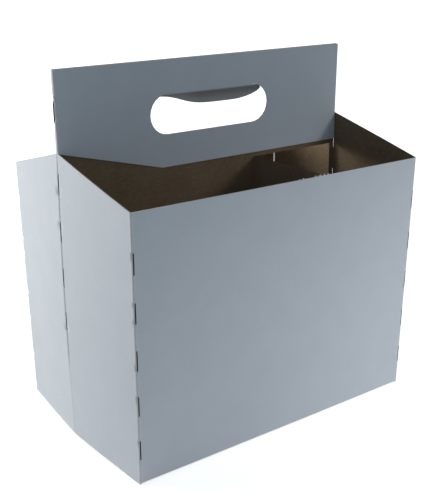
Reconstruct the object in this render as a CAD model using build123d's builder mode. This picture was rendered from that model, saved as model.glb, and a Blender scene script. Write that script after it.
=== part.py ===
from build123d import *
import os

# A carrier for six bottles, folded and glued from one die-cut sheet of paperboard that is
# white outside and brown inside. X runs along the carrier, Y from the front panel to the
# rear one and Z up, in millimetres. The origin is under its middle, on the ground.

# Board
board = 0.6
corner_radius = 0.9

# Body
panel_length = 195.6
body_width = 129.7
wall_height = 151.5
crease_height = 168.5
crease_lift = 1.0
sway = 5.2

# Handle
handle_top = 211.4
handle_setback = 0.8
handle_crease_radius = 0.6
medial_foot = 3.0

# Hand hole and its finger flap
hole_length = 82.0
hole_height = 22.5
hole_drop = 18.7
hole_relief = 2.5
flap_gap = 0.3
flap_neck = 1.2
flap_angle = 62.0

# Cross partitions, each a strap cut from the medial panel and glued to a side panel
strap_drop = 2.9
strap_height = 52.0
strap_step = 10.0
strap_tab = 9.0
window_margin = 4.0

# Bottom flaps
bottom_lap = 24.0
corner_relief = 2.0
flap_taper = 5.0

# Slits along the upright folds
slit_width = 0.8
slit_length = 12.0
slit_pitch = 26.1
corner_slits = 5
crease_slits = 4

# The panels stand a little out of square: the side panels are pushed right and the medial
# panel left, each by half the sway.
side_left = (sway - panel_length) / 2
side_right = (sway + panel_length) / 2
medial_left = -side_right
medial_right = -side_left
half_width = body_width / 2

# The handle is four plies thick, and the medial panel below it two.
medial_half = board
handle_half = 2 * board
handle_right = medial_right - handle_setback

# The flap turns about the middle of the front ply, just under the top of the hand hole.
hole_x = (medial_left + medial_right) / 2
hole_top = handle_top - hole_drop
hole_middle = hole_top - hole_height / 2
fold_height = hole_top - flap_gap - board / 2
fold_y = -(handle_half - board / 2)
fold_length = hole_length - hole_height

# The partitions stand at the thirds. Each strap lay in the medial panel to the right of its
# hinge, the right one above and the left one below it.
right_hinge = hole_x + panel_length / 6
left_hinge = hole_x - panel_length / 6
upper_low = wall_height - strap_drop - strap_height
lower_low = upper_low - strap_step - strap_height
straps = [(right_hinge, upper_low), (left_hinge, lower_low)]


with BuildPart() as carrier:
    # Outer wall: one band round the body, creased inwards or outwards at the middle of each end
    with BuildSketch() as band:
        with BuildLine():
            Polyline(
                (medial_left, 0),
                (side_left, -half_width),
                (side_right, -half_width),
                (medial_right, 0),
                (side_right, half_width),
                (side_left, half_width),
                close=True,
            )
        make_face()
        folds = band.vertices().group_by(Axis.Y)
        fillet(folds[0] + folds[-1], radius=corner_radius)
        offset(amount=-board, mode=Mode.SUBTRACT)
    extrude(amount=handle_top)

    # Edges of the band: level along the side panels and rising to the crease on the ends, steeply
    # at the top and a little at the bottom
    with BuildSketch(Plane.YZ):
        with BuildLine():
            Polyline(
                (-body_width, wall_height),
                (board - half_width, wall_height),
                (0, crease_height),
                (half_width - board, wall_height),
                (body_width, wall_height),
                (body_width, 2 * handle_top),
                (-body_width, 2 * handle_top),
                close=True,
            )
        make_face()
        with BuildLine():
            Polyline(
                (board - half_width, 0),
                (0, crease_lift),
                (half_width - board, 0),
                close=True,
            )
        make_face()
    extrude(amount=panel_length, both=True, mode=Mode.SUBTRACT)

    # Outer plies of the handle, cut to the same line as the top edge of the band
    with BuildSketch(Plane.XZ):
        with BuildLine():
            Polyline(
                (medial_left, crease_height),
                (medial_left + half_width, wall_height),
                (handle_right, wall_height),
                (handle_right, handle_top),
                (medial_left, handle_top),
                close=True,
            )
        make_face()
    extrude(amount=handle_half, both=True)
    handle_fold = carrier.edges().filter_by(Axis.Z).group_by(Axis.X)[0]
    handle_creases = handle_fold.filter_by(lambda e: e.center().Z > crease_height)
    fillet(handle_creases, radius=handle_crease_radius)

    # Medial panel, open where its straps have been folded out
    with BuildSketch(Plane.XZ):
        with BuildLine():
            Polyline(
                (medial_left + board / 2, medial_foot),
                (medial_right, medial_foot),
                (medial_right, wall_height),
                (handle_right, wall_height),
                (handle_right, handle_top - board),
                (medial_left + handle_half, handle_top - board),
                (medial_left + handle_half, wall_height),
                (medial_left + board / 2, wall_height),
                close=True,
            )
        make_face()
        for hinge, low in straps:
            window_right = min(hinge + half_width + strap_tab, medial_right - window_margin)
            with Locations((hinge, low)):
                Rectangle(
                    window_right - hinge,
                    strap_height,
                    align=(Align.MIN, Align.MIN),
                    mode=Mode.SUBTRACT,
                )
    extrude(amount=medial_half, both=True)

    # Straps, from the medial panel to the side panels, with a tab glued to each side panel
    for hinge, low in straps:
        with BuildSketch(Plane.XY.offset(low)):
            with BuildLine():
                Polyline(
                    (hinge + sway + strap_tab, -half_width + board / 2),
                    (hinge + sway + strap_tab, -half_width + 2 * board),
                    (hinge + sway, -half_width + 2 * board),
                    (hinge, 0),
                    (hinge - board, 0),
                    (hinge + sway - board, -half_width + board / 2),
                    close=True,
                )
            make_face()
            mirror(about=Plane.XZ)
        extrude(amount=strap_height)

    # Bottom: the front flap lies under the rear one, which is stepped up over it along the lap
    with BuildSketch() as lower_flap:
        with BuildLine():
            Polyline(
                (side_left + corner_relief, -half_width + board / 2),
                (side_right - corner_relief, -half_width + board / 2),
                (side_right - corner_relief - flap_taper, bottom_lap / 2),
                (side_left + corner_relief + flap_taper, bottom_lap / 2),
                close=True,
            )
        make_face()
    extrude(amount=board)
    with BuildSketch() as upper_flap:
        with BuildLine():
            Polyline(
                (side_left + corner_relief, half_width - board / 2),
                (side_right - corner_relief, half_width - board / 2),
                (side_right - corner_relief - flap_taper, bottom_lap / 2 + board),
                (side_left + corner_relief + flap_taper, bottom_lap / 2 + board),
                close=True,
            )
        make_face()
    extrude(amount=board)
    with BuildSketch(Plane.XY.offset(board)):
        with Locations((sway / 2, board)):
            Rectangle(
                panel_length - 2 * (corner_relief + flap_taper),
                bottom_lap + 2 * board,
            )
    extrude(amount=board)

    # Hand hole: the front ply is cut to the flap's outline, and the plies behind it are wider
    with BuildSketch(Plane.XZ):
        with Locations((hole_x, hole_middle)):
            SlotOverall(hole_length, hole_height)
    extrude(amount=handle_half, both=True, mode=Mode.SUBTRACT)
    with BuildSketch(Plane.XZ.offset(handle_half - board)):
        with Locations((hole_x, hole_middle)):
            SlotOverall(hole_length + 2 * hole_relief, hole_height + 2 * hole_relief)
    extrude(amount=-2 * handle_half, mode=Mode.SUBTRACT)

    # Slits through the board along the four corner folds
    corner_heights = [wall_height - slit_pitch * (n + 1) for n in range(corner_slits)]
    for x in (side_left, side_right):
        for y in (-half_width, half_width):
            outward = Vector(1 if x > 0 else -1, 1 if y > 0 else -1, 0)
            across = Vector(-outward.Y, outward.X, 0)
            with BuildSketch(Plane(origin=(x, y, 0), x_dir=across, z_dir=outward)):
                with Locations(*[(0, z) for z in corner_heights]):
                    Rectangle(slit_width, slit_length)
            extrude(amount=2 * board, both=True, mode=Mode.SUBTRACT)

    # Slits along the creases at the middle of the ends, and one in the fold of the handle
    crease_heights = [wall_height - slit_pitch * n for n in range(crease_slits)]
    handle_slit = (crease_height + handle_top) / 2
    for x, heights in ((medial_left, crease_heights + [handle_slit]), (medial_right, crease_heights)):
        side = 1 if x > 0 else -1
        with BuildSketch(Plane(origin=(x, 0, 0), x_dir=(0, side, 0), z_dir=(side, 0, 0))):
            with Locations(*[(0, z) for z in heights]):
                Rectangle(slit_width, slit_length)
        extrude(amount=board, both=True, mode=Mode.SUBTRACT)
carrier.part.label = "carrier"


with BuildPart() as finger_flap:
    # Tongue of the front ply, as wide as its hole but for the gap, pushed back through the
    # handle. It narrows to a neck at its fold, so that its round ends pass the ply.
    hanging = Plane(origin=(hole_x, fold_y, fold_height), x_dir=(1, 0, 0), z_dir=(0, -1, 0))
    with BuildSketch(hanging.rotated((flap_angle, 0, 0))):
        with Locations((0, hole_top - fold_height - hole_height / 2)):
            SlotOverall(hole_length - 2 * flap_gap, hole_height - 2 * flap_gap)
        with Locations((0, -flap_neck)):
            Rectangle(hole_length, hole_height, align=(Align.CENTER, Align.MIN), mode=Mode.SUBTRACT)
            Rectangle(fold_length, flap_neck, align=(Align.CENTER, Align.MIN))
    extrude(amount=board / 2, both=True)
    with Locations((hole_x, fold_y, fold_height)):
        Cylinder(board / 2, fold_length, rotation=(0, 90, 0))
finger_flap.part.label = "finger_flap"


os.makedirs("parts", exist_ok=True)
export_step(carrier.part, "parts/carrier.step")
export_step(finger_flap.part, "parts/finger_flap.step")
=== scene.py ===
import math

import bpy
import numpy as np
from mathutils import Matrix, Vector, noise
from mathutils.geometry import delaunay_2d_cdt


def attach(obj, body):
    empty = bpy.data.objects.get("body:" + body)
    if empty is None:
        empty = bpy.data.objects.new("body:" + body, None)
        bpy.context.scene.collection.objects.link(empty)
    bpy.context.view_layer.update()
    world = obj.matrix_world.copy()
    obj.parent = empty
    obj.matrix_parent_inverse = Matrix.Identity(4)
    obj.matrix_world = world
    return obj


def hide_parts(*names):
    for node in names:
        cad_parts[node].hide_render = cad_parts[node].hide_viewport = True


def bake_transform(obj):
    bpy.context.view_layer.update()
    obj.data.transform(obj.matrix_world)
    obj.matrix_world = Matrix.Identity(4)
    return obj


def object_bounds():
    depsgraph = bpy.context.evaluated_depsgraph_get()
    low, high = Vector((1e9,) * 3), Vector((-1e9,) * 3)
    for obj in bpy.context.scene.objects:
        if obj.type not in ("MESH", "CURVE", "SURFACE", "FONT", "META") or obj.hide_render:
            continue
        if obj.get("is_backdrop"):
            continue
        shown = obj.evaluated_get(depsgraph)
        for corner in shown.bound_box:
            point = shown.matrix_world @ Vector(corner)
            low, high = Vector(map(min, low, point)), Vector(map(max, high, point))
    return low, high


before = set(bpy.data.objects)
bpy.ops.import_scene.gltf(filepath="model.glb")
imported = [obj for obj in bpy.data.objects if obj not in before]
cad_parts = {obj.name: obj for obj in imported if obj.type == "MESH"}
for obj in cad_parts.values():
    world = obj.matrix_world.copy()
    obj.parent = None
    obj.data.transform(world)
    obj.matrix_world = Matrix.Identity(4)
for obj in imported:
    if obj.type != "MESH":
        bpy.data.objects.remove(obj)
cad_low, cad_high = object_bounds()

# The bottle carrier as its folded board. Each piece is a flat outline that is triangulated,
# folded along a line in plan and given two faces and a cut edge. The pieces and the camera are
# sized in millimetres, and the floor and the lamps in metres.
MM = 0.001

# Board, a little thinner than a ply of the solids, and half the gap between the medial plies
BOARD = 0.56
SKIN = 0.02

# Radii of the folds
CORNER_RADIUS = 0.9
CREASE_RADIUS = 2.5
HANDLE_RADIUS = 0.6
MEDIAL_RADIUS = 0.7
STRAP_RADII = [0.8, 0.35]

# Body, as in the solids. The medial plies start a little in from the left end and above the
# ground.
PANEL = 195.6
WIDTH = 129.7
WALL = 151.5
CREASE = 168.5
CREASE_LIFT = 1.0
SWAY = 5.2
PLY = 0.6
HALF = WIDTH / 2
SIDE_LEFT = (SWAY - PANEL) / 2
SIDE_RIGHT = (SWAY + PANEL) / 2
MEDIAL_LEFT = -SIDE_RIGHT
MEDIAL_RIGHT = -SIDE_LEFT
MEDIAL_SETBACK = 0.75
MEDIAL_START = MEDIAL_LEFT + MEDIAL_SETBACK
MEDIAL_FOOT = 3.0
FOOT_RUN = 1.0

# Handle. It is set back from the right end, above a small shoulder, and its medial plies end a
# little below the outer ones.
HANDLE_TOP = 211.4
HANDLE_SETBACK = 0.8
HANDLE_RIGHT = MEDIAL_RIGHT - HANDLE_SETBACK
HANDLE_SHOULDER = 0.4
FRONT_MEDIAL_TOP = HANDLE_TOP - 0.2
REAR_MEDIAL_TOP = HANDLE_TOP - 0.12

# Hand hole
HOLE_X = (MEDIAL_LEFT + MEDIAL_RIGHT) / 2
HOLE_LENGTH = 82.0
HOLE_HEIGHT = 22.5
HOLE_DROP = 18.7
HOLE_TOP = HANDLE_TOP - HOLE_DROP
HOLE_RELIEF = 2.5
HOLE_TURNS = 12

# Finger flap: its outline, its fold, and how far it is pushed back along its length. Its round
# ends reach up to the shoulder, a little above the fold.
FLAP_GAP = 0.3
FLAP_SHOULDER = 0.2
FLAP_TURNS = 10
FLAP_BEND = 0.6
FLAP_RIGHT_LEAN = math.radians(60.0)
FLAP_TWIST = math.radians(19.0)
FLAP_TWIST_X = -9.5
FLAP_TWIST_REACH = 5.0
FOLD_Y = -1.5 * PLY
FOLD_Z = HOLE_TOP - FLAP_GAP - PLY / 2

# Straps, with the hinge and the lowest height of each
STRAP_DROP = 2.9
STRAP_HEIGHT = 52.0
STRAP_STEP = 10.0
STRAP_TAB = 9.0
STRAP_LEAD = 1.0
STRAP_BOW = 0.9
UPPER_LOW = WALL - STRAP_DROP - STRAP_HEIGHT
LOWER_LOW = UPPER_LOW - STRAP_STEP - STRAP_HEIGHT
STRAPS = {
    "right": (HOLE_X + PANEL / 6, UPPER_LOW),
    "left": (HOLE_X - PANEL / 6, LOWER_LOW),
}
WINDOW_MARGIN = 4.0

# Bottom flaps. The rear one steps up over the front one just before their lap.
LAP = 24.0
RELIEF = 2.0
TAPER = 5.0
BOTTOM_INSET = 0.8
NOTCH = 0.01
LAP_EDGE = HALF - LAP / 2
LAP_RISE_START = LAP_EDGE - 5
LAP_RISE_END = LAP_EDGE - 1

# Slits along the folds: how many, and half the width that each kind stands open
CORNER_SLITS = 5
CREASE_SLITS = 4
CORNER_SLIT = 0.34
CREASE_SLIT = 0.5
RIGHT_CREASE_SLIT = 0.2
HANDLE_SLIT = 0.75

# Their length and spacing, the length of their points in half widths, and how far the corner
# slits lie beside their fold
SLIT_LENGTH = 12.4
SLIT_PITCH = 26.1
SLIT_POINT = 3
SLIT_OFFSET = 0.7

# Groove that the crease rule made along the middle of the left end, with painted shade in it as
# strong as it is deep, deepest between two heights and fading to a faint one beyond them
GROOVE_DEPTH = 0.42
GROOVE_WIDTH = 0.6
GROOVE_LOW = 51.0
GROOVE_HIGH = 163.0
GROOVE_LOW_FADE = 8
GROOVE_HIGH_FADE = 6
GROOVE_FAINT = 0.35
GROOVE_COLUMNS = 7

# Shape that the folded carrier has settled into. Its side panels bulge, least along their top
# and bottom edges. Its ends bulge and bow, which sets in between two distances from the middle.
SIDE_BULGE = 0.6
SIDE_BULGE_EDGE = 0.45
END_BULGE = 1.1
END_BOW = 0.6
END_BOW_EDGE = 0.4
END_FROM = 80
END_TO = 94

# Ripple of the panels: its height, the length of its waves along the sides, along the ends and
# upwards, and the slices of noise that it is read from
RIPPLE = 0.12
SIDE_WAVE = 38
END_WAVE = 30
WAVE_HEIGHT = 46
SIDE_SLICE = 7
END_SLICE = 3

# How two of the top corners stand out and lower than square
FRONT_RIGHT_LEAN = (1.4, -0.5, -1.3)
REAR_LEFT_LEAN = (-1.2, 0.7, -1.0)

# Torn nicks on the front panel's top edge: place along X and height. Each has the same shape,
# given by places along the edge and shares of its height.
NICKS = [(9.5, 0.5), (12.1, 0.9), (20.8, 0.9), (23.0, 0.7), (24.4, 1.0), (27.2, 1.0), (30.1, 0.8)]
NICK_SHAPE = [(0.5, 0.0), (0.2, 1.0), (-0.25, 0.7), (-0.5, 0.0)]

# Material slots of every sheet
WHITE, BROWN, CUT, SHADED = range(4)

# Spacing of the points that a sheet is bent by: on a panel, on the flap, in the flap's fold and,
# as a turn, in any other fold
STEP = 5.0
FLAP_STEP = 3
FLAP_FOLD_STEP = 0.15
FOLD_STEP = math.radians(16)

# Room from an edge to the next row of points, room beside a fold, which is as far as the fold is
# rubbed and painted with a highlight, and the lowest row of the blank, which is below its flaps
ROW_INSET = 1
FOLD_GUARD = 1.3
LOWEST_ROW = -80

# Smallest distances in the flat sheet: between columns, between points of an edge, and from an
# edge to the points inside. Smaller ones than MERGED count as none, as do areas under SLIVER.
COLUMN_GUARD = 0.05
EDGE_GUARD = 0.06
GRID_GUARD = 0.12
MERGED = 1e-5
SLIVER = 1e-7

# How far a box reaches past the outline that it is drawn round
BOX_MARGIN = 0.01


def share_of(value, low, high):
    """How far the value is on its way from low to high, from 0 to 1."""
    return min(max((value - low) / (high - low), 0.0), 1.0)


def ease(share):
    """The share, starting and ending softly."""
    return share * share * (3 - 2 * share)


def rows_between(low, high, step=STEP):
    """Evenly spaced values from low to high, about a step apart."""
    if high <= low:
        return [low]
    count = max(1, round((high - low) / step))
    return [low + (high - low) * k / count for k in range(count + 1)]


def rows_with(marks, low, high):
    """The marks, and evenly spaced values from low to high where no mark is close by."""
    rows = rows_between(low, high)
    return sorted([z for z in rows if min(abs(z - m) for m in marks) > FOLD_GUARD] + marks)


class FoldedLine:
    """A line in plan, straight but for its rounded folds. A sheet's white face lies on it and
    looks to its left."""

    def __init__(self, points, radii):
        self.spans = []
        self.folds = []
        here = Vector(points[0])
        run = 0.0
        for i in range(1, len(points)):
            corner = Vector(points[i])
            heading = (corner - Vector(points[i - 1])).normalized()
            if i == len(points) - 1:
                self.spans.append((run, "straight", here, heading, 0.0))
                run += (corner - here).length
                break
            onward = (Vector(points[i + 1]) - corner).normalized()
            turn = math.atan2(heading.x * onward.y - heading.y * onward.x, heading.dot(onward))
            radius = radii[i - 1]
            back = radius * math.tan(abs(turn) / 2)
            start = corner - heading * back
            self.spans.append((run, "straight", here, heading, 0.0))
            run += (start - here).length
            self.spans.append((run, "fold", start, heading, math.copysign(1 / radius, turn)))
            arc = radius * abs(turn)
            self.folds.append((run, run + arc / 2, run + arc, abs(turn)))
            run += arc
            here = corner + onward * back
        self.length = run
        self.starts = [span[0] for span in self.spans]

    def at(self, s):
        """Place on the line."""
        i = int(np.searchsorted(self.starts, s, side="right")) - 1
        run, kind, origin, heading, curve = self.spans[max(i, 0)]
        d = s - run
        left = Vector((-heading.y, heading.x))
        if kind == "straight":
            return origin + heading * d
        angle = curve * d
        return origin + heading * (math.sin(angle) / curve) + left * ((1 - math.cos(angle)) / curve)

    def columns(self, extra=()):
        """Where points go along the line: evenly on the panels and close together in the folds."""
        marks = set()
        last = 0.0
        for low, _, high, turn in self.folds + [(self.length, self.length, self.length, 0.0)]:
            marks.update(rows_between(last, low))
            marks.update(s for s in (low - FOLD_GUARD, high + FOLD_GUARD) if 0 < s < self.length)
            count = max(2, math.ceil(turn / FOLD_STEP))
            marks.update(rows_between(low, high, (high - low) / count))
            last = high
        marks.update(extra)
        kept = []
        for s in sorted(marks):
            if not kept or s - kept[-1] > COLUMN_GUARD:
                kept.append(s)
        return kept


def slit(s, z, half):
    """Outline of a slit that stands open by twice half, with short pointed ends."""
    low, high = z - SLIT_LENGTH / 2, z + SLIT_LENGTH / 2
    tip = SLIT_POINT * half
    right = [(s, low), (s + half, low + tip), (s + half, high - tip)]
    return right + [(s, high), (s - half, high - tip), (s - half, low + tip)]


def slot_outline(x, top, length, height):
    """Outline of a slot with round ends, in the plane of the handle."""
    radius = height / 2
    middle = top - radius
    points = []
    for side in (1, -1):
        for k in range(HOLE_TURNS + 1):
            a = side * (math.pi / 2 - math.pi * k / HOLE_TURNS)
            along = length / 2 - radius + radius * math.cos(a)
            points.append((x + side * along, middle + radius * math.sin(a)))
    return points


def wide_hand_hole():
    """The hand hole of the plies behind the front one."""
    length = HOLE_LENGTH + 2 * HOLE_RELIEF
    height = HOLE_HEIGHT + 2 * HOLE_RELIEF
    return slot_outline(HOLE_X, HOLE_TOP + HOLE_RELIEF, length, height)


def split_edges(loop, columns, rows):
    """The loop with a point wherever it crosses a column or, on upright edges, a row."""
    out = []
    for (s0, z0), (s1, z1) in zip(loop, loop[1:] + loop[:1]):
        out.append((s0, z0))
        span, rise = s1 - s0, z1 - z0
        size = math.hypot(span, rise)
        if abs(span) > MERGED:
            cuts = [(c - s0) / span for c in columns]
        else:
            cuts = [(r - z0) / rise for r in rows]
        cuts = sorted(t for t in cuts if EDGE_GUARD < t * size < size - EDGE_GUARD)
        out += [(s0 + span * t, z0 + rise * t) for t in cuts]
    return out


def inside(points, loop):
    """Which of the points lie inside the loop."""
    x, y = points[:, 0], points[:, 1]
    result = np.zeros(len(points), bool)
    for (x0, y0), (x1, y1) in zip(loop, loop[1:] + loop[:1]):
        if y0 == y1:
            continue
        crosses = (y0 > y) != (y1 > y)
        result ^= crosses & (x < (x1 - x0) * (y - y0) / (y1 - y0) + x0)
    return result


def clear_of(points, loops, margin):
    """Which of the points are further than the margin from every edge of the loops."""
    good = np.ones(len(points), bool)
    for loop in loops:
        for a, b in zip(loop, loop[1:] + loop[:1]):
            a, b = np.array(a), np.array(b)
            d = b - a
            t = np.clip(((points - a) @ d) / max(d @ d, MERGED**2), 0, 1)
            good &= np.linalg.norm(points - (a + t[:, None] * d), axis=1) > margin
    return good


def triangulate(outline, holes, columns, rows):
    """Flat points and triangles of a sheet with that outline and those holes."""
    loops = [split_edges(loop, columns, rows) for loop in [outline] + holes]
    grid = np.array([(s, z) for s in columns for z in rows])
    grid = grid[inside(grid, loops[0])]
    for hole in loops[1:]:
        grid = grid[~inside(grid, hole)]
    grid = grid[clear_of(grid, loops, GRID_GUARD)]
    flat, edges = [], []
    for loop in loops:
        first = len(flat)
        flat += [Vector(p) for p in loop]
        edges += [(first + k, first + (k + 1) % len(loop)) for k in range(len(loop))]
    flat += [Vector(p) for p in grid]
    verts, _, faces, _, _, _ = delaunay_2d_cdt(flat, edges, [], 0, MERGED, False)
    spots = np.array([tuple(v) for v in verts])
    middles = np.array([spots[list(f)].mean(axis=0) for f in faces])
    keep = inside(middles, loops[0])
    for hole in loops[1:]:
        keep &= ~inside(middles, hole)
    triangles = []
    for f, kept in zip(faces, keep):
        if not kept:
            continue
        a, b, c = (spots[i] for i in f)
        area = (b[0] - a[0]) * (c[1] - a[1]) - (b[1] - a[1]) * (c[0] - a[0])
        if abs(area) > SLIVER:
            triangles.append(tuple(f) if area > 0 else tuple(reversed(f)))
    return spots, triangles


def outward(place, s, z):
    """Direction in which the white face looks, from the slope of the folded sheet."""
    reach = 0.02
    along = place(s + reach, z) - place(s - reach, z)
    upward = place(s, z + reach) - place(s, z - reach)
    return upward.cross(along).normalized()


def press(s, z, groove):
    """How deep a groove is there, from 0 to 1, which is also how strong its painted shade is."""
    from_low = share_of(z, GROOVE_LOW - GROOVE_LOW_FADE, GROOVE_LOW)
    from_high = share_of(z, GROOVE_HIGH + GROOVE_HIGH_FADE, GROOVE_HIGH)
    across = (s - groove) / GROOVE_WIDTH
    deepest = GROOVE_FAINT + (1 - GROOVE_FAINT) * min(from_low, from_high)
    return deepest * math.exp(-across * across)


def rub_and_highlight(s, folds):
    """How worn and lit the white face is painted there, rubbed wear with a painted highlight, from
    1 on a fold to 0 away from the folds.
    """
    nearest = min((abs(s - fold) for fold in folds), default=FOLD_GUARD)
    return max(0.0, 1 - nearest / FOLD_GUARD)


def finish_mesh(name, verts, faces, slots, normals, marks):
    """Makes the object, in metres, with its board materials, the normals of its two faces and the
    marks that the materials read."""
    mesh = bpy.data.meshes.new(name)
    mesh.from_pydata([v * MM for v in verts], [], faces)
    for material in (coated, kraft, cut, shaded):
        mesh.materials.append(material)
    mesh.polygons.foreach_set("material_index", slots)
    mesh.polygons.foreach_set("use_smooth", [True] * len(faces))
    for mark, values in marks.items():
        layer = mesh.attributes.new(mark, "FLOAT", "POINT")
        layer.data.foreach_set("value", values)
    mesh.update()
    mesh.normals_split_custom_set(normals)
    piece = bpy.data.objects.new(name, mesh)
    bpy.context.scene.collection.objects.link(piece)
    return piece


def box_of(outline):
    """Left, right, low and high side of a box just round an outline."""
    s, z = zip(*outline)
    return min(s) - BOX_MARGIN, max(s) + BOX_MARGIN, min(z) - BOX_MARGIN, max(z) + BOX_MARGIN


def fold_sheet(name, outline, holes, slits, columns, rows, place, wear_and_highlight_at=(), groove=None, dark=()):
    """A sheet of board, cut to a flat outline and folded by place(s, z), which gives the spot on
    its white face. Its rims are pale, but brown in the holes and painted dark as shade in the slits
    and in the boxes named dark. Its folds get rubbed wear with a painted highlight."""
    spots, triangles = triangulate(outline, holes + slits, columns, rows)
    used = sorted({i for t in triangles for i in t})
    index = {old: new for new, old in enumerate(used)}
    flat = [(float(spots[i][0]), float(spots[i][1])) for i in used]
    looks = [outward(place, s, z) for s, z in flat]
    white = [place(s, z) for s, z in flat]
    brown = [spot - look * BOARD for spot, look in zip(white, looks)]
    verts = white + brown
    # Rubbed wear and a painted highlight along the folds
    wear_and_highlight = [rub_and_highlight(s, wear_and_highlight_at) for s, _ in flat]
    # Painted shade along the crease groove, as strong as the groove is deep
    crease_shade = [press(s, z, groove) if groove else 0.0 for s, z in flat]
    n = len(used)
    faces, slots, normals, open_edges = [], [], [], {}
    for t in triangles:
        a, b, c = (index[i] for i in t)
        faces += [(c, b, a), (a + n, b + n, c + n)]
        slots += [WHITE, BROWN]
        normals += [looks[c], looks[b], looks[a], -looks[a], -looks[b], -looks[c]]
        for edge in ((a, b), (b, c), (c, a)):
            if edge[::-1] in open_edges:
                del open_edges[edge[::-1]]
            else:
                open_edges[edge] = True
    # Rims in the slits and in the boxes named dark get painted shade
    rims = [(box, SHADED) for box in [box_of(gap) for gap in slits] + list(dark)]
    rims += [(box_of(hole), BROWN) for hole in holes]
    for a, b in open_edges:
        faces.append((a, b, b + n, a + n))
        s, z = (flat[a][0] + flat[b][0]) / 2, (flat[a][1] + flat[b][1]) / 2
        found = (
            slot
            for (left, right, low, high), slot in rims
            if left <= s <= right and low <= z <= high
        )
        slots.append(next(found, CUT))
        look = (verts[b] - verts[a]).cross(verts[b + n] - verts[a]).normalized()
        normals += [look] * 4
    marks = {"wear_and_highlight": wear_and_highlight * 2, "crease_shade": crease_shade * 2}
    return finish_mesh(name, verts, faces, slots, normals, marks)


# Materials


def new_material(name):
    """A material, with its node tree and its shader."""
    material = bpy.data.materials.new(name)
    material.use_nodes = True
    tree = material.node_tree
    shader = tree.nodes["Principled BSDF"]
    return material, tree, shader


def scaled_noise(tree, scale, detail, stretch=(1, 1, 1), rough=0.5):
    """Noise in the object's own space, in metres, finer along the axes with more stretch."""
    coords = tree.nodes.new("ShaderNodeTexCoord")
    mapping = tree.nodes.new("ShaderNodeMapping")
    mapping.inputs["Scale"].default_value = stretch
    texture = tree.nodes.new("ShaderNodeTexNoise")
    texture.inputs["Scale"].default_value = scale
    texture.inputs["Detail"].default_value = detail
    texture.inputs["Roughness"].default_value = rough
    tree.links.new(coords.outputs["Object"], mapping.inputs["Vector"])
    tree.links.new(mapping.outputs["Vector"], texture.inputs["Vector"])
    return texture.outputs["Fac"]


def between(tree, value, low, high, to_low, to_high):
    """The value, mapped from one range to another."""
    node = tree.nodes.new("ShaderNodeMapRange")
    node.inputs["From Min"].default_value = low
    node.inputs["From Max"].default_value = high
    node.inputs["To Min"].default_value = to_low
    node.inputs["To Max"].default_value = to_high
    tree.links.new(value, node.inputs["Value"])
    return node.outputs["Result"]


def mix(tree, factor, one, other):
    """Two colours, each a socket or an RGB triple, mixed by the socket factor."""
    node = tree.nodes.new("ShaderNodeMix")
    node.data_type = "RGBA"
    for name, value in (("Factor", factor), ("A", one), ("B", other)):
        target = next(entry for entry in node.inputs if entry.name == name and entry.enabled)
        if isinstance(value, bpy.types.NodeSocket):
            tree.links.new(value, target)
        else:
            target.default_value = (*value, 1)
    return next(entry for entry in node.outputs if entry.enabled)


def add_bump(tree, shader, layers):
    """Bumps on the shader from (height socket, strength, distance in metres) layers."""
    last = None
    for height, strength, distance in layers:
        bump = tree.nodes.new("ShaderNodeBump")
        bump.inputs["Strength"].default_value = strength
        bump.inputs["Distance"].default_value = distance
        tree.links.new(height, bump.inputs["Height"])
        if last:
            tree.links.new(last, bump.inputs["Normal"])
        last = bump.outputs["Normal"]
    tree.links.new(last, shader.inputs["Normal"])


def srgb(r, g, b):
    """A colour given as 0 to 255 values of a screen, as linear light."""

    def linear(v):
        v /= 255
        return v / 12.92 if v <= 0.04045 else ((v + 0.055) / 1.055) ** 2.4

    return (linear(r), linear(g), linear(b))


WHITE_TONES = (srgb(209, 214, 220), srgb(213, 218, 224))
LINE_TONE = srgb(200, 205, 211)
# The folds' light tone is partly rubbed wear and partly a painted highlight
RUBBED_HIGHLIGHT_TONE = srgb(236, 228, 222)
# The crease's dark tone is painted shade in its groove
CREASE_SHADE_TONE = srgb(112, 116, 122)
KRAFT_TONES = (srgb(116, 97, 75), srgb(132, 112, 88))
PALE_FIBRE = srgb(158, 138, 112)
DARK_FIBRE = srgb(82, 66, 49)
CUT_TONES = (srgb(206, 190, 174), srgb(232, 221, 208))
# Near-black tones for rims in slits and deep inside: painted shade
SHADE_EDGE_TONES = (srgb(30, 26, 24), srgb(50, 42, 36))


def mark_times(tree, mark, value, strength):
    """A mark of the mesh, as strong as given and broken up by the value."""
    node = tree.nodes.new("ShaderNodeAttribute")
    node.attribute_name = mark
    product = tree.nodes.new("ShaderNodeMath")
    product.operation = "MULTIPLY"
    tree.links.new(node.outputs["Fac"], product.inputs[0])
    tree.links.new(between(tree, value, 0.35, 0.7, 0.5 * strength, strength), product.inputs[1])
    return product.outputs["Value"]


def coated_board():
    """Clay-coated white side: even, with a faint mottle, fine level lines, rubbed folds with a
    painted highlight and painted shade along the crease groove.
    """
    material, tree, shader = new_material("coated_white")
    mottle = between(tree, scaled_noise(tree, 60, 3), 0.3, 0.7, 0, 1)
    colour = mix(tree, mottle, *WHITE_TONES)
    lines = scaled_noise(tree, 260, 4, (1, 1, 6), 0.6)
    colour = mix(tree, between(tree, lines, 0.35, 0.75, 0, 0.3), colour, LINE_TONE)
    grain = scaled_noise(tree, 700, 2)
    # Rubbed wear with a painted highlight lightens the coating on the folds
    colour = mix(tree, mark_times(tree, "wear_and_highlight", grain, 0.8), colour, RUBBED_HIGHLIGHT_TONE)
    # Painted shade darkens the coating along the crease groove
    colour = mix(tree, mark_times(tree, "crease_shade", grain, 0.6), colour, CREASE_SHADE_TONE)
    tree.links.new(colour, shader.inputs["Base Color"])
    shader.inputs["Specular IOR Level"].default_value = 0.35
    roughness = between(tree, scaled_noise(tree, 420, 3), 0.3, 0.7, 0.50, 0.62)
    tree.links.new(roughness, shader.inputs["Roughness"])
    pits = scaled_noise(tree, 1500, 2)
    add_bump(tree, shader, [(lines, 0.3, 0.00005), (pits, 0.25, 0.00003)])
    return material


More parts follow.
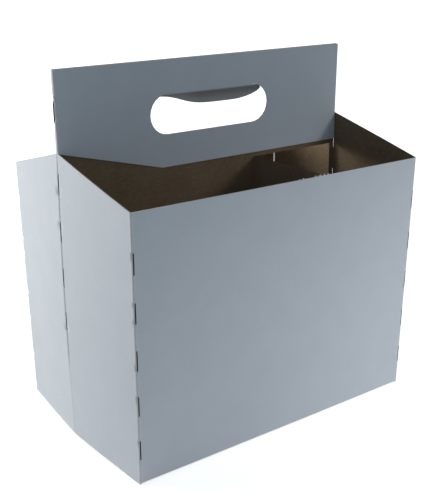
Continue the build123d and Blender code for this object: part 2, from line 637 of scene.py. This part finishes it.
def kraft_board():
    """Unbleached brown side, with long pale and dark fibres."""
    material, tree, shader = new_material("brown_kraft")
    cloud = between(tree, scaled_noise(tree, 40, 4), 0.3, 0.7, 0, 1)
    colour = mix(tree, cloud, *KRAFT_TONES)
    long_fibres = scaled_noise(tree, 300, 4, (1, 1, 4), 0.7)
    colour = mix(tree, between(tree, long_fibres, 0.5, 0.75, 0, 0.6), colour, PALE_FIBRE)
    dark_fibres = scaled_noise(tree, 420, 3, (1.5, 1.5, 6), 0.7)
    colour = mix(tree, between(tree, dark_fibres, 0.56, 0.8, 0, 0.7), colour, DARK_FIBRE)
    tree.links.new(colour, shader.inputs["Base Color"])
    shader.inputs["Specular IOR Level"].default_value = 0.25
    tree.links.new(between(tree, cloud, 0, 1, 0.78, 0.9), shader.inputs["Roughness"])
    pits = scaled_noise(tree, 1300, 2)
    add_bump(tree, shader, [(long_fibres, 0.5, 0.00012), (pits, 0.3, 0.00005)])
    return material


def rough_edge(name, dark, light):
    """Edge of the board, a little torn."""
    material, tree, shader = new_material(name)
    grain = scaled_noise(tree, 900, 3)
    colour = mix(tree, between(tree, grain, 0.3, 0.7, 0, 1), dark, light)
    tree.links.new(colour, shader.inputs["Base Color"])
    shader.inputs["Specular IOR Level"].default_value = 0.2
    shader.inputs["Roughness"].default_value = 0.9
    add_bump(tree, shader, [(grain, 0.5, 0.00008)])
    return material


coated = coated_board()
kraft = kraft_board()
cut = rough_edge("cut_edge", *CUT_TONES)
# Dark rims for the slits and for edges deep inside: painted shade
shaded = rough_edge("painted_shade_edge", *SHADE_EDGE_TONES)


# The blank: medial ply, end, front, end, end, rear, end and medial ply in one length, with the
# bottom flaps below the front and rear panels


blank_line = FoldedLine(
    [
        (MEDIAL_START, -SKIN),
        (MEDIAL_RIGHT, -SKIN),
        (SIDE_RIGHT, -HALF),
        (SIDE_LEFT, -HALF),
        (MEDIAL_LEFT, 0),
        (SIDE_LEFT, HALF),
        (SIDE_RIGHT, HALF),
        (MEDIAL_RIGHT, SKIN),
        (MEDIAL_START, SKIN),
    ],
    [
        MEDIAL_RADIUS,
        CORNER_RADIUS,
        CORNER_RADIUS,
        CREASE_RADIUS,
        CORNER_RADIUS,
        CORNER_RADIUS,
        MEDIAL_RADIUS,
    ],
)
blank_folds = [fold[1] for fold in blank_line.folds]
right_crease_front, front_right, front_left, left_crease = blank_folds[:4]
rear_left, rear_right, right_crease_rear = blank_folds[4:]


def settle(spot):
    """Where a point of the flat-sided carrier stands once its panels bulge and its corners lean."""
    x, y, z = spot
    side = math.copysign(1, y)
    depth = share_of(abs(y), 0, HALF)
    across = share_of(x, SIDE_LEFT, SIDE_RIGHT)
    height = max(z / WALL, 0)
    swell = math.sin(math.pi * min(height, 1))
    ripple = RIPPLE * noise.noise(Vector((x / SIDE_WAVE, z / WAVE_HEIGHT, SIDE_SLICE * side)))
    bulge = SIDE_BULGE * (SIDE_BULGE_EDGE + (1 - SIDE_BULGE_EDGE) * swell) + ripple
    y += side * depth * bulge * math.sin(math.pi * across)
    end = math.copysign(ease(share_of(abs(x), END_FROM, END_TO)), x)
    swell = math.sin(math.pi * share_of(z, 0, CREASE))
    layer = math.copysign(END_SLICE, x)
    ripple = RIPPLE * noise.noise(Vector((y / END_WAVE, z / WAVE_HEIGHT, layer)))
    bow = END_BOW * (END_BOW_EDGE + (1 - END_BOW_EDGE) * swell) + ripple
    x += end * (END_BULGE * (1 - depth) * swell + bow * math.sin(math.pi * depth))
    lean = Vector(FRONT_RIGHT_LEAN if side < 0 else REAR_LEFT_LEAN)
    lean *= depth * height * (across if side < 0 else 1 - across)
    return Vector((x, y, z)) + lean


def place_blank(s, z):
    """Where a point of the flat blank stands, with the bottom flaps turned in under the panels."""
    x, y = blank_line.at(s)
    front = front_right < s < front_left
    rear = rear_left < s < rear_right
    if z < CORNER_RADIUS and (front or rear):
        turned = CORNER_RADIUS - z
        angle = min(turned / CORNER_RADIUS, math.pi / 2)
        inward = CORNER_RADIUS * (1 - math.cos(angle)) + turned - CORNER_RADIUS * angle
        z = CORNER_RADIUS * (1 - math.sin(angle))
        y += inward if front else -inward
        if rear:
            z += (PLY + 2 * SKIN) * ease(share_of(inward, LAP_RISE_START, LAP_RISE_END))
    return settle((x + GROOVE_DEPTH * press(s, z, left_crease), y, z))


def front_nicks():
    """Torn nicks on the top edge of the front panel, from its left to its right."""
    points = []
    for x, rise in NICKS:
        s = front_right + SIDE_RIGHT - x
        points += [(s + along, WALL + share * rise) for along, share in NICK_SHAPE]
    return points


def blank_outline():
    """Outline of the blank in the flat: along, and up from the ground line."""
    turn = CORNER_RADIUS * (math.pi / 2 - 1)
    flap_end = CORNER_RADIUS - HALF - LAP / 2 - turn
    end = blank_line.length

    def flap(low, high):
        """The edges of a bottom flap, from one corner fold to the next."""
        low += BOTTOM_INSET
        high -= BOTTOM_INSET
        return [
            (low, 0.0),
            (low + NOTCH, CORNER_RADIUS),
            (low + RELIEF, CORNER_RADIUS),
            (low + RELIEF + TAPER, flap_end),
            (high - RELIEF - TAPER, flap_end),
            (high - RELIEF, CORNER_RADIUS),
            (high - NOTCH, CORNER_RADIUS),
            (high, 0.0),
        ]

    return [
        (0.0, MEDIAL_FOOT),
        (right_crease_front - FOOT_RUN, MEDIAL_FOOT),
        (right_crease_front, CREASE_LIFT),
        *flap(front_right, front_left),
        (left_crease, CREASE_LIFT),
        *flap(rear_left, rear_right),
        (right_crease_rear, CREASE_LIFT),
        (right_crease_rear + FOOT_RUN, MEDIAL_FOOT),
        (end, MEDIAL_FOOT),
        (end, REAR_MEDIAL_TOP),
        (right_crease_rear + HANDLE_SETBACK, REAR_MEDIAL_TOP),
        (right_crease_rear + HANDLE_SETBACK, CREASE + HANDLE_SHOULDER),
        (right_crease_rear, CREASE),
        (rear_right, WALL),
        (rear_left, WALL),
        (left_crease, CREASE),
        (front_left, WALL),
        *front_nicks(),
        (front_right, WALL),
        (right_crease_front, CREASE),
        (right_crease_front - HANDLE_SETBACK, CREASE + HANDLE_SHOULDER),
        (right_crease_front - HANDLE_SETBACK, FRONT_MEDIAL_TOP),
        (0.0, FRONT_MEDIAL_TOP),
    ]


def medial_plies(outline):
    """An outline drawn along X in the medial panel, as it lies in each of its two plies."""
    front = [(x - MEDIAL_START, z) for x, z in outline]
    rear = [(blank_line.length - s, z) for s, z in front]
    return [front, rear]


def blank_holes():
    """Windows that the straps left, and the hand hole."""
    holes = []
    for hinge, low in STRAPS.values():
        left = hinge - STRAP_LEAD
        right = min(hinge + HALF + STRAP_TAB, MEDIAL_RIGHT - WINDOW_MARGIN)
        high = low + STRAP_HEIGHT
        holes += medial_plies([(left, low), (right, low), (right, high), (left, high)])
    return holes + medial_plies(wide_hand_hole())


def slit_height(n):
    """Height of the middle of a slit, counted down from the top of the wall."""
    return WALL - SLIT_PITCH * n


def blank_slits():
    """Slits beside the corner folds and along the creases of the ends."""
    slits = []
    corners = [
        front_right + SLIT_OFFSET,
        front_left - SLIT_OFFSET,
        rear_left + SLIT_OFFSET,
        rear_right - SLIT_OFFSET,
    ]
    for s in corners:
        slits += [slit(s, slit_height(n), CORNER_SLIT) for n in range(1, CORNER_SLITS + 1)]
    creases = [
        (right_crease_front, RIGHT_CREASE_SLIT),
        (left_crease, CREASE_SLIT),
        (right_crease_rear, RIGHT_CREASE_SLIT),
    ]
    for s, half in creases:
        slits += [slit(s, slit_height(n), half) for n in range(CREASE_SLITS)]
    return slits


def make_blank():
    """The folded blank, which is the medial plies, the walls and the bottom."""
    groove_columns = [
        left_crease + GROOVE_WIDTH * k / 3 for k in range(-GROOVE_COLUMNS, GROOVE_COLUMNS + 1)
    ]
    slit_ends = [
        slit_height(n) + end * SLIT_LENGTH / 2 for n in range(CORNER_SLITS + 1) for end in (-1, 1)
    ]
    rows = rows_between(LOWEST_ROW, CORNER_RADIUS)
    rows += rows_with(slit_ends, CORNER_RADIUS + 2 * ROW_INSET, HANDLE_TOP - ROW_INSET)
    # The two ends of the blank, inside the left crease and the handle, get rims painted dark as
    # shade
    shaded_inner_edges = [box_of([(s, MEDIAL_FOOT), (s, HANDLE_TOP)]) for s in (0.0, blank_line.length)]
    piece = fold_sheet(
        "folded_blank",
        blank_outline(),
        blank_holes(),
        blank_slits(),
        blank_line.columns(groove_columns),
        rows,
        place_blank,
        wear_and_highlight_at=[front_right, front_left, rear_left, rear_right],
        groove=left_crease,
        dark=shaded_inner_edges,
    )
    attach(piece, "carrier")
    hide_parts("carrier")


# Outer plies of the handle: one sheet folded back to back round the handle's left edge


handle_line = FoldedLine(
    [
        (HANDLE_RIGHT, -2 * PLY),
        (MEDIAL_LEFT, -2 * PLY),
        (MEDIAL_LEFT, 2 * PLY),
        (HANDLE_RIGHT, 2 * PLY),
    ],
    [HANDLE_RADIUS, HANDLE_RADIUS],
)
handle_fold = (handle_line.folds[0][1] + handle_line.folds[1][1]) / 2


def place_handle(s, z):
    """Where a point of the flat handle sheet stands."""
    x, y = handle_line.at(s)
    return settle((x, y, z))


def make_handle():
    """The outer plies of the handle, cut at the foot to the line of the walls' top edge."""
    reach = math.hypot(HALF, SWAY)
    outline = [
        (0.0, WALL),
        (handle_fold - reach, WALL),
        (handle_fold, CREASE),
        (handle_fold + reach, WALL),
        (handle_line.length, WALL),
        (handle_line.length, HANDLE_TOP),
        (0.0, HANDLE_TOP),
    ]
    front = slot_outline(HOLE_X, HOLE_TOP, HOLE_LENGTH, HOLE_HEIGHT)
    holes = [
        [(HANDLE_RIGHT - x, z) for x, z in front],
        [(handle_line.length - (HANDLE_RIGHT - x), z) for x, z in wide_hand_hole()],
    ]
    piece = fold_sheet(
        "handle_plies",
        outline,
        holes,
        [slit(handle_fold, (CREASE + HANDLE_TOP) / 2, HANDLE_SLIT)],
        handle_line.columns(),
        rows_between(WALL + 1.5 * ROW_INSET, HANDLE_TOP - ROW_INSET),
        place_handle,
        wear_and_highlight_at=[fold[1] for fold in handle_line.folds],
    )
    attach(piece, "carrier")
    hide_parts("carrier")


# Cross partitions


def make_strap(name, hinge, low, front):
    """A strap folded out of the medial panel, with its tab on the side panel and rims painted dark
    as shade.
    """
    reach = HALF - 2 * PLY - SKIN
    far = hinge + SWAY * reach / HALF
    points = [(hinge - STRAP_LEAD, -SKIN), (hinge, -SKIN), (far, -reach), (far + STRAP_TAB, -reach)]
    radii = STRAP_RADII
    bow = STRAP_BOW
    if not front:
        points = [(x, -y) for x, y in reversed(points)]
        radii = STRAP_RADII[::-1]
        bow = -STRAP_BOW
    line = FoldedLine(points, radii)

    def place(s, z):
        x, y = line.at(s)
        share = math.sin(math.pi * share_of(abs(y), 0, reach))
        return settle((x + bow * share * share, y, z))

    high = low + STRAP_HEIGHT
    outline = [(0.0, low), (line.length, low), (line.length, high), (0.0, high)]
    rows = rows_between(low + ROW_INSET, high - ROW_INSET)
    folds = [fold[1] for fold in line.folds]
    piece = fold_sheet(
        name,
        outline,
        [],
        [],
        line.columns(),
        rows,
        place,
        wear_and_highlight_at=folds,
        dark=[box_of(outline)],
    )
    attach(piece, "carrier")
    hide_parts("carrier")


# Finger flap, with the crease that joins it to the front ply


def flap_lean(x):
    """How far the flap is pushed back, which is more at its left end."""
    return FLAP_RIGHT_LEAN + FLAP_TWIST / (1 + math.exp((x - FLAP_TWIST_X) / FLAP_TWIST_REACH))


def place_flap(s, z):
    """Where a point of the flat flap stands. s runs against X, and z is up from the fold."""
    x, down = -s, -z
    lean = flap_lean(x)
    share = share_of(down, -FLAP_BEND, FLAP_BEND)
    angle = lean * share
    y = FOLD_Y + 2 * FLAP_BEND * (1 - math.cos(angle)) / lean
    height = FOLD_Z + (FLAP_BEND - 2 * FLAP_BEND * math.sin(angle) / lean)
    past = max(down - FLAP_BEND, 0) - max(-FLAP_BEND - down, 0)
    spot = Vector((x, y + past * math.sin(angle), height - past * math.cos(angle)))
    return spot + Vector((0, -math.cos(angle), -math.sin(angle))) * (BOARD / 2)


def flap_outline():
    """Outline of the flap, along X and up from the fold: a tongue with round ends, and above its
    shoulders the strip that joins it to the ply."""
    half = (HOLE_LENGTH - HOLE_HEIGHT) / 2
    radius = HOLE_HEIGHT / 2 - FLAP_GAP
    middle = HOLE_TOP - HOLE_HEIGHT / 2 - FOLD_Z
    start = math.asin((FLAP_SHOULDER - middle) / radius)
    sweep = start + math.pi / 2
    angles = [start - sweep * k / FLAP_TURNS for k in range(FLAP_TURNS + 1)]
    right = [(HOLE_X + half + radius * math.cos(a), middle + radius * math.sin(a)) for a in angles]
    left = [(2 * HOLE_X - x, z) for x, z in reversed(right)]
    top = HOLE_TOP - FOLD_Z
    strip_left = [(HOLE_X - half, FLAP_SHOULDER), (HOLE_X - half, top)]
    strip_right = [(HOLE_X + half, top), (HOLE_X + half, FLAP_SHOULDER)]
    return strip_left + strip_right + right + left


def make_finger_flap():
    """The flap, bent at its fold, which stays with the handle at its top and turns below."""
    outline = [(-x, z) for x, z in flap_outline()]
    low = min(z for _, z in outline)
    half = HOLE_LENGTH / 2
    columns = rows_between(-HOLE_X - half, -HOLE_X + half, FLAP_STEP)
    rows = rows_between(-FLAP_BEND - FLAP_FOLD_STEP, FLAP_BEND, FLAP_FOLD_STEP)
    rows += rows_between(low + ROW_INSET, -2 * ROW_INSET, FLAP_STEP)
    piece = fold_sheet("paper_finger_flap", outline, [], [], columns, rows, place_flap)
    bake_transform(piece)
    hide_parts("finger_flap")


make_blank()
make_handle()
for side, (hinge, low) in STRAPS.items():
    make_strap(f"front_{side}_strap", hinge, low, True)
    make_strap(f"rear_{side}_strap", hinge, low, False)
make_finger_flap()


# Camera at the photograph's place, from the corners of the carrier in it


CAMERA_PLACE = (-289.04, -402.99, 272.05)
CAMERA_AZIMUTH = math.radians(-35.592)
CAMERA_ELEVATION = math.radians(20.372)
CAMERA_ROLL = math.radians(-0.152)
FOCAL_PX = 860.55
CENTRE_PX = (213.433, 259.524)
IMAGE_PX = (435, 500)
SENSOR = 36.0


def make_camera():
    """The scene's camera, with the photograph's angle, focal length and centre."""
    data = bpy.data.cameras.new("camera")
    data.sensor_fit = "AUTO"
    data.sensor_width = SENSOR
    data.lens = FOCAL_PX * SENSOR / max(IMAGE_PX)
    data.shift_x = (IMAGE_PX[0] / 2 - CENTRE_PX[0]) / max(IMAGE_PX)
    data.shift_y = (CENTRE_PX[1] - IMAGE_PX[1] / 2) / max(IMAGE_PX)
    data.clip_start = 0.01
    camera = bpy.data.objects.new("camera", data)
    ca, sa = math.cos(CAMERA_AZIMUTH), math.sin(CAMERA_AZIMUTH)
    ce, se = math.cos(CAMERA_ELEVATION), math.sin(CAMERA_ELEVATION)
    back = Vector((sa * ce, -ca * ce, se))
    right = Vector((ca, sa, 0))
    up = back.cross(right)
    cr, sr = math.cos(CAMERA_ROLL), math.sin(CAMERA_ROLL)
    right, up = right * cr + up * sr, up * cr - right * sr
    turn = Matrix((right, up, back)).transposed().to_4x4()
    camera.matrix_world = Matrix.Translation(Vector(CAMERA_PLACE) * MM) @ turn
    bpy.context.scene.collection.objects.link(camera)
    bpy.context.scene.camera = camera


make_camera()


# Floor, just under the carrier. Its glow grows from the near level to the far one between two
# distances from the middle.
FLOOR_REACH = 6.0
FLOOR_HEIGHT = -0.0004
FLOOR_COLOUR = (0.82, 0.82, 0.82, 1)
GLOW_NEAR = 0.66
GLOW_FAR = 1.0
GLOW_FROM = 0.2
GLOW_TO = 1.0

# Light of the room
ROOM_COLOUR = (0.68, 0.85, 1.0, 1)
ROOM_LEVEL = 0.25


def make_floor():
    """A pale floor that takes the carrier's shadow. The camera alone sees its glow."""
    mesh = bpy.data.meshes.new("floor")
    corners = [(-1, -1), (1, -1), (1, 1), (-1, 1)]
    spots = [(x * FLOOR_REACH, y * FLOOR_REACH, FLOOR_HEIGHT) for x, y in corners]
    mesh.from_pydata(spots, [], [(0, 1, 2, 3)])
    floor = bpy.data.objects.new("floor", mesh)
    bpy.context.scene.collection.objects.link(floor)
    material = bpy.data.materials.new("floor")
    material.use_nodes = True
    tree = material.node_tree
    tree.nodes.clear()
    out = tree.nodes.new("ShaderNodeOutputMaterial")
    diffuse = tree.nodes.new("ShaderNodeBsdfDiffuse")
    diffuse.inputs["Color"].default_value = FLOOR_COLOUR
    glow = tree.nodes.new("ShaderNodeEmission")
    path = tree.nodes.new("ShaderNodeLightPath")
    level = tree.nodes.new("ShaderNodeMath")
    level.operation = "MULTIPLY"
    coords = tree.nodes.new("ShaderNodeTexCoord")
    away = tree.nodes.new("ShaderNodeVectorMath")
    away.operation = "LENGTH"
    tree.links.new(coords.outputs["Object"], away.inputs[0])
    rising = between(tree, away.outputs["Value"], GLOW_FROM, GLOW_TO, GLOW_NEAR, GLOW_FAR)
    tree.links.new(rising, level.inputs[1])
    both = tree.nodes.new("ShaderNodeAddShader")
    tree.links.new(path.outputs["Is Camera Ray"], level.inputs[0])
    tree.links.new(level.outputs["Value"], glow.inputs["Strength"])
    tree.links.new(diffuse.outputs["BSDF"], both.inputs[0])
    tree.links.new(glow.outputs["Emission"], both.inputs[1])
    tree.links.new(both.outputs["Shader"], out.inputs["Surface"])
    mesh.materials.append(material)
    floor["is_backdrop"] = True


def make_world():
    """The room's light, and plain white where it is seen, mirrored or looked through."""
    world = bpy.data.worlds.new("studio")
    bpy.context.scene.world = world
    world.use_nodes = True
    tree = world.node_tree
    tree.nodes.clear()
    out = tree.nodes.new("ShaderNodeOutputWorld")
    room = tree.nodes.new("ShaderNodeBackground")
    room.inputs["Color"].default_value = ROOM_COLOUR
    room.inputs["Strength"].default_value = ROOM_LEVEL
    white = tree.nodes.new("ShaderNodeBackground")
    white.inputs["Color"].default_value = (1, 1, 1, 1)
    white.inputs["Strength"].default_value = 1.0
    path = tree.nodes.new("ShaderNodeLightPath")
    seen = tree.nodes.new("ShaderNodeMath")
    seen.operation = "MAXIMUM"
    mirrored = tree.nodes.new("ShaderNodeMath")
    mirrored.operation = "MAXIMUM"
    blend = tree.nodes.new("ShaderNodeMixShader")
    tree.links.new(path.outputs["Is Camera Ray"], seen.inputs[0])
    tree.links.new(path.outputs["Is Glossy Ray"], seen.inputs[1])
    tree.links.new(seen.outputs["Value"], mirrored.inputs[0])
    tree.links.new(path.outputs["Is Transmission Ray"], mirrored.inputs[1])
    tree.links.new(mirrored.outputs["Value"], blend.inputs["Fac"])
    tree.links.new(room.outputs["Background"], blend.inputs[1])
    tree.links.new(white.outputs["Background"], blend.inputs[2])
    tree.links.new(blend.outputs["Shader"], out.inputs["Surface"])


def make_lamp(name, place, aim, size, watts, colour, spread=180):
    """A rectangular lamp, in metres, watts and degrees, which the camera doesn't see."""
    data = bpy.data.lights.new(name, "AREA")
    data.shape = "RECTANGLE"
    data.size, data.size_y = size
    data.energy = watts
    data.color = colour
    data.spread = math.radians(spread)
    lamp = bpy.data.objects.new(name, data)
    lamp.location = place
    lamp.visible_camera = False
    lamp.rotation_euler = (Vector(aim) - Vector(place)).to_track_quat("-Z", "Y").to_euler()
    bpy.context.scene.collection.objects.link(lamp)


make_floor()
make_world()

# Daylight from the rear left, and two weak fills, for the left end and for the front panel
make_lamp(
    "rear_window",
    place=(-0.9, 1.4, 0.8),
    aim=(0, 0, 0.1),
    size=(1.0, 1.0),
    watts=22,
    colour=(1.0, 1.0, 0.98),
)
make_lamp(
    "left_fill",
    place=(-0.55, 0.30, 0.20),
    aim=(-0.098, 0.08, 0.13),
    size=(0.16, 0.16),
    watts=0.105,
    colour=(1.0, 0.93, 0.84),
    spread=60,
)
make_lamp(
    "right_fill",
    place=(0.35, -0.40, 0.30),
    aim=(0.03, -0.065, -0.14),
    size=(0.14, 0.14),
    watts=0.235,
    colour=(1.0, 1.0, 1.0),
    spread=70,
)

bpy.context.scene.view_settings.view_transform = "Standard"

low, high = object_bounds()
({
        "cad": [list(map(float, cad_low)), list(map(float, cad_high))],
        "visual": [list(map(float, low)), list(map(float, high))],
    })
